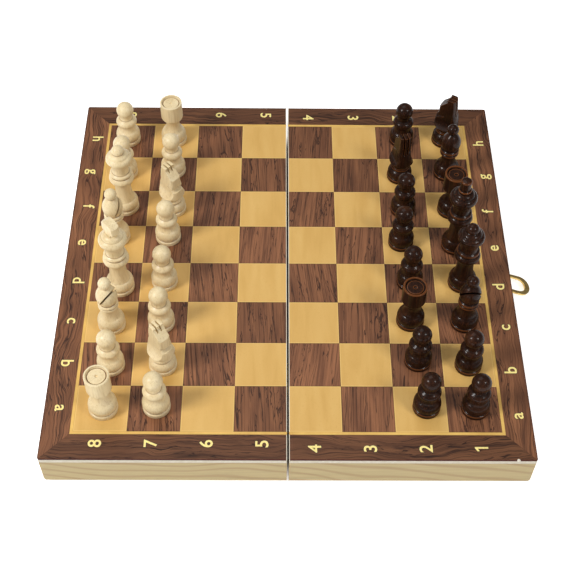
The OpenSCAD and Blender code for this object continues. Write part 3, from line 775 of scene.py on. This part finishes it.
def mark_carving(mesh):
    """Hollow and ridge of a carved mesh, from how far each vertex stands from its neighbours."""
    count = len(mesh.vertices)
    places = np.zeros(count * 3)
    mesh.vertices.foreach_get("co", places)
    places = places.reshape(-1, 3)
    normals = np.zeros(count * 3)
    mesh.vertex_normals.foreach_get("vector", normals)
    normals = normals.reshape(-1, 3)
    ends = np.zeros(len(mesh.edges) * 2, dtype=np.int64)
    mesh.edges.foreach_get("vertices", ends)
    ends = ends.reshape(-1, 2)
    degree = np.bincount(ends.ravel(), minlength=count)[:, None]
    smooth = places.copy()
    for _ in range(6):
        total = np.zeros_like(smooth)
        np.add.at(total, ends[:, 0], smooth[ends[:, 1]])
        np.add.at(total, ends[:, 1], smooth[ends[:, 0]])
        smooth = total / np.maximum(degree, 1)
    relief = ((places - smooth) * normals).sum(1) / mm(0.16)
    for name, values in (("hollow", -relief), ("ridge", relief)):
        layer = mesh.attributes.get(name) or mesh.attributes.new(name, "FLOAT", "POINT")
        layer.data.foreach_set("value", np.clip(values, 0, 1).astype(np.float32))


def join(first, *others):
    work = bmesh.new()
    work.from_mesh(first.data)
    for other in others:
        work.from_mesh(other.data)
        bpy.data.objects.remove(other)
    work.to_mesh(first.data)
    work.free()
    return first


# ---- Standing the pieces on their squares ----

stands = {}
heights = {}
foot_radius = {}
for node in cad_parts:
    if node.startswith(("white_", "black_")):
        low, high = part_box(node)
        middle = (low + high) / 2 / MM
        stands[node] = (middle.x, middle.y, low.z / MM)
        heights[node] = (high.z - low.z) / MM
        foot_radius[node] = (high.x - low.x) / 2 / MM


def finish_piece(made, node, turned_by, wood):
    """Turns a piece, stands it on its square and hands it to its body."""
    x, y, z = stands[node]
    made.data.transform(Matrix.Translation(mm(x, y, z)) @ Matrix.Rotation(math.radians(turned_by), 4, "Z"))
    made.data.materials.clear()
    made.data.materials.append(wood)
    for polygon in made.data.polygons:
        polygon.use_smooth = True
    made.data.set_sharp_from_angle(angle=math.radians(38))
    made.name = "shown_" + node
    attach(made, node)
    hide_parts(node)


def make_piece(node, kind, turned_by, wood):
    r, h = foot_radius[node], heights[node]
    if kind == "pawn":
        made = thing(node, turn(pawn_stations(r, h), wood))
    elif kind == "rook":
        made = thing(node, turn(rook_stations(r, h), wood))
    elif kind == "bishop":
        made = thing(node, turn(bishop_stations(r, h), wood))
        low, run, slope = raised(22.6, 38.4, h), 14, math.radians(62)
        back, up = 0.9 * math.sin(slope), 0.9 * math.cos(slope)
        far, high = run * math.cos(slope), low + run * math.sin(slope)
        saw = [(0, low), (far, high), (far - back, high + up), (-back, low + up)]
        cut(made, thing("saw", prism(saw, -15, 15)), "DIFFERENCE")
    elif kind == "queen":
        made = thing(node, turn(queen_stations(r, h), wood))
    elif kind == "king":
        crossed = node.startswith("white")
        made = thing(node, turn(king_stations(r, h, FLAT_TOP if crossed else POST), wood))
        if crossed:
            finial = block_finial(h, wood)
            mark_carving(finial.data)
            join(made, finial)
    else:
        made = thing(node, turn(knight_foot_stations(r), wood))
        head = knight_head(r, h, wood)
        mark_carving(head.data)
        join(made, head)
    finish_piece(made, node, turned_by, wood)


# Degrees that the pieces which have a front are turned. The others get any turn, for their grain.
TURNS = {"white_knight_1": -48, "white_knight_2": -45, "black_knight_1": 105, "black_knight_2": 150,
         "white_bishop_1": -34, "white_bishop_2": 22, "black_bishop_1": -90, "black_bishop_2": 100,
         "white_king": -48}

for node in stands:
    side, kind = node.split("_")[:2]
    wood, slot_name = (IVORY, "ivory_wood") if side == "white" else (EBONY, "ebonised_wood")
    make_piece(node, kind, TURNS.get(node, sum(map(ord, node)) % 360), wood)


# ---- Finishes on the carried-over solids ----

def dress(material, *nodes):
    for node in nodes:
        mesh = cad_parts[node].data
        mesh.materials.clear()
        mesh.materials.append(material)


pine_long = pine_finish("pine_long_walls", True)
pine_end = pine_finish("pine_end_walls", False)
dark_squares = dark_square_finish()
light_squares = light_square_finish()
border = border_finish()
stringing = stringing_finish()
panel = panel_finish()
for side in SIDES:
    dress(pine_long, side + "_front_wall", side + "_back_wall")
    dress(pine_end, side + "_end_wall", side + "_centre_wall")
    dress(dark_squares, side + "_dark_squares")
    dress(light_squares, side + "_light_squares")
    dress(border, side + "_border")
    dress(stringing, side + "_stringing")
    dress(panel, side + "_panel")
    dress(BRASS, side + "_hinge_leaves")
    dress(NAIL_BRASS, side + "_hinge_screws")
dress(steel_finish(), "hinge_pins")
dress(BRASS, "hasp_plate", "catch_plate", "hasp_loop")
dress(NAIL_BRASS, "hasp_nails", "catch_nails")


# ---- Coordinates printed on the border ----

GLYPH_H = 6.25
# The print follows the middle of each square and of the border band. The rest are its own small
# errors in millimetres: how far it spreads past a square at each step, how far it sits in from the
# middle of the band, and how far each half's print slips along Y.
NUMBER_SLIP_X = -0.75
NUMBER_SPREAD = 0.9
PRINTS = {"left": {"letters_in": 1.15, "numbers_in": 0.55, "spread": 0.26, "letters_slip": 1.0,
                   "numbers_slip": 1.3},
          "right": {"letters_in": -0.05, "numbers_in": 0.2, "spread": 0.5, "letters_slip": -1.8,
                    "numbers_slip": -0.75}}
number_pitch = square / MM + NUMBER_SPREAD
first_number_x = (field_x - 3.5 * square) / MM + NUMBER_SLIP_X
band_x = (string_x + half_x) / 2 / MM
band_y = (string_y + half_y) / 2 / MM


FIGURE_ONE = [(0.2, 0), (0.9, 0), (0.9, GLYPH_H), (0.4, GLYPH_H), (-1.2, 5.2), (-1.2, 4.4),
              (0.2, 5.1)]


def drawn_curve(points):
    curve = bpy.data.curves.new("glyph", "CURVE")
    curve.dimensions = "2D"
    curve.fill_mode = "BOTH"
    spline = curve.splines.new("POLY")
    spline.points.add(len(points) - 1)
    for point, (x, y) in zip(spline.points, points):
        point.co = (x * MM, y * MM, 0, 1)
    spline.use_cyclic_u = True
    return curve


def typed_curve(character):
    curve = bpy.data.curves.new("glyph", "FONT")
    curve.body = character
    curve.size = mm(GLYPH_H) / 0.7
    curve.align_x = "CENTER"
    return curve


def glyph_mesh(character, swell, thickness):
    """Flat bold glyph on the X axis, in metres, lying in the XY plane with its top towards +Y."""
    curve = drawn_curve(FIGURE_ONE) if character == "1" else typed_curve(character)
    curve.offset = mm(swell)
    curve.extrude = mm(thickness)
    made = thing("glyph", curve)
    depsgraph = bpy.context.evaluated_depsgraph_get()
    mesh = bpy.data.meshes.new_from_object(made.evaluated_get(depsgraph))
    bpy.data.objects.remove(made)
    return mesh


def print_labels(side, name, swell, lift, material):
    """All the coordinates on one half, as one piece."""
    sign = SIDES[side]
    plan = PRINTS[side]
    labels = []
    for i in range(4):
        rank = str(4 - i if side == "right" else 5 + i)
        x = sign * (first_number_x + i * number_pitch)
        labels.append((rank, x, plan["numbers_slip"] - (band_y - plan["numbers_in"]), 90))
        labels.append((rank, x, plan["numbers_slip"] + (band_y - plan["numbers_in"]), -90))
    for i, letter in enumerate("abcdefgh"):
        y = (i - 3.5) * (square / MM + plan["spread"]) + plan["letters_slip"]
        labels.append((letter, sign * (band_x - plan["letters_in"]), y, 90 * sign))
    work = bmesh.new()
    for character, x, y, turned_by in labels:
        drop = GLYPH_H * (0.5 if character.isdigit() else 0.44)
        mesh = glyph_mesh(character, swell, 0.01)
        mesh.transform(Matrix.Translation(mm(x, y, play_z / MM + lift))
                       @ Matrix.Rotation(math.radians(turned_by), 4, "Z")
                       @ Matrix.Translation(mm(0, -drop, 0)))
        work.from_mesh(mesh)
    mesh = bpy.data.meshes.new(name)
    bmesh.ops.remove_doubles(work, verts=work.verts, dist=1e-7)
    work.to_mesh(mesh)
    work.free()
    mesh.materials.append(material)
    made = thing(name, mesh)
    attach(made, side + "_half")


for side in SIDES:
    print_labels(side, side + "_label_outline", 0.42, 0.012, INK)
    print_labels(side, side + "_labels", 0.12, 0.03, GILT)


# ---- Floor, light and camera ----

def add_floor():
    mesh = bpy.data.meshes.new("floor")
    reach = 12.0
    mesh.from_pydata([(-reach, -reach, 0), (reach, -reach, 0), (reach, reach, 0), (-reach, reach, 0)],
                     [], [(0, 1, 2, 3)])
    mesh.transform(Matrix.Translation((0, 0, -mm(1.4))))
    finish = Finish("pale_floor")
    # The glow stops under the board, so that the fold gap stays dark.
    x, y, z = finish.axes()
    outside = finish.smooth((abs(x) - half_x).most(abs(y) - half_y), -mm(12), mm(1))
    glow = finish.blend(outside, (0, 0, 0, 1), (1, 1, 1, 1))
    mesh.materials.append(finish.surface(paint(250, 250, 250), 0.8, emission_color=glow,
                                         emission_strength=0.62))
    thing("floor", mesh)


def add_light(name, place, target, size, power, tint=(1, 1, 1)):
    light = bpy.data.lights.new(name, "AREA")
    light.shape = "RECTANGLE"
    light.size, light.size_y = size
    light.energy = power
    light.color = tint
    lamp = thing(name, light)
    lamp.location = place
    lamp.rotation_euler = (Vector(target) - Vector(place)).to_track_quat("-Z", "Y").to_euler()


def add_world(strength):
    world = bpy.data.worlds.new("studio")
    world.use_nodes = True
    sky = world.node_tree.nodes["Background"]
    sky.inputs[0].default_value = (1, 1, 1, 1)
    sky.inputs[1].default_value = strength
    bpy.context.scene.world = world


def add_camera():
    """Tall lens above the near edge, turned a little off the board's axis."""
    yaw, tilt, roll = -0.0199, 0.6417, 0.0205
    away = Vector((-0.2256, -14.4591, 18.4349)) * 0.026
    camera = bpy.data.cameras.new("camera")
    camera.sensor_width = 36
    camera.lens = 69.75
    eye = thing("camera", camera)
    eye.matrix_world = (Matrix.Translation(away + Vector((0, 0, play_z)))
                        @ Matrix.Rotation(yaw, 4, "Z") @ Matrix.Rotation(tilt, 4, "X")
                        @ Matrix.Rotation(roll, 4, "Z"))
    bpy.context.scene.camera = eye


add_floor()
add_world(0.2)
add_light("left_softbox", (-0.75, -0.35, 0.8), (0, 0, 0), (0.3, 0.3), 8)
add_light("right_softbox", (0.6, -0.45, 0.8), (0, 0, 0), (0.25, 0.25), 3.4)
add_light("overhead_soft", (-0.2, 0.5, 1.2), (0, 0, 0), (0.8, 0.8), 4.2)
add_camera()
bpy.context.scene.view_settings.view_transform = "Standard"
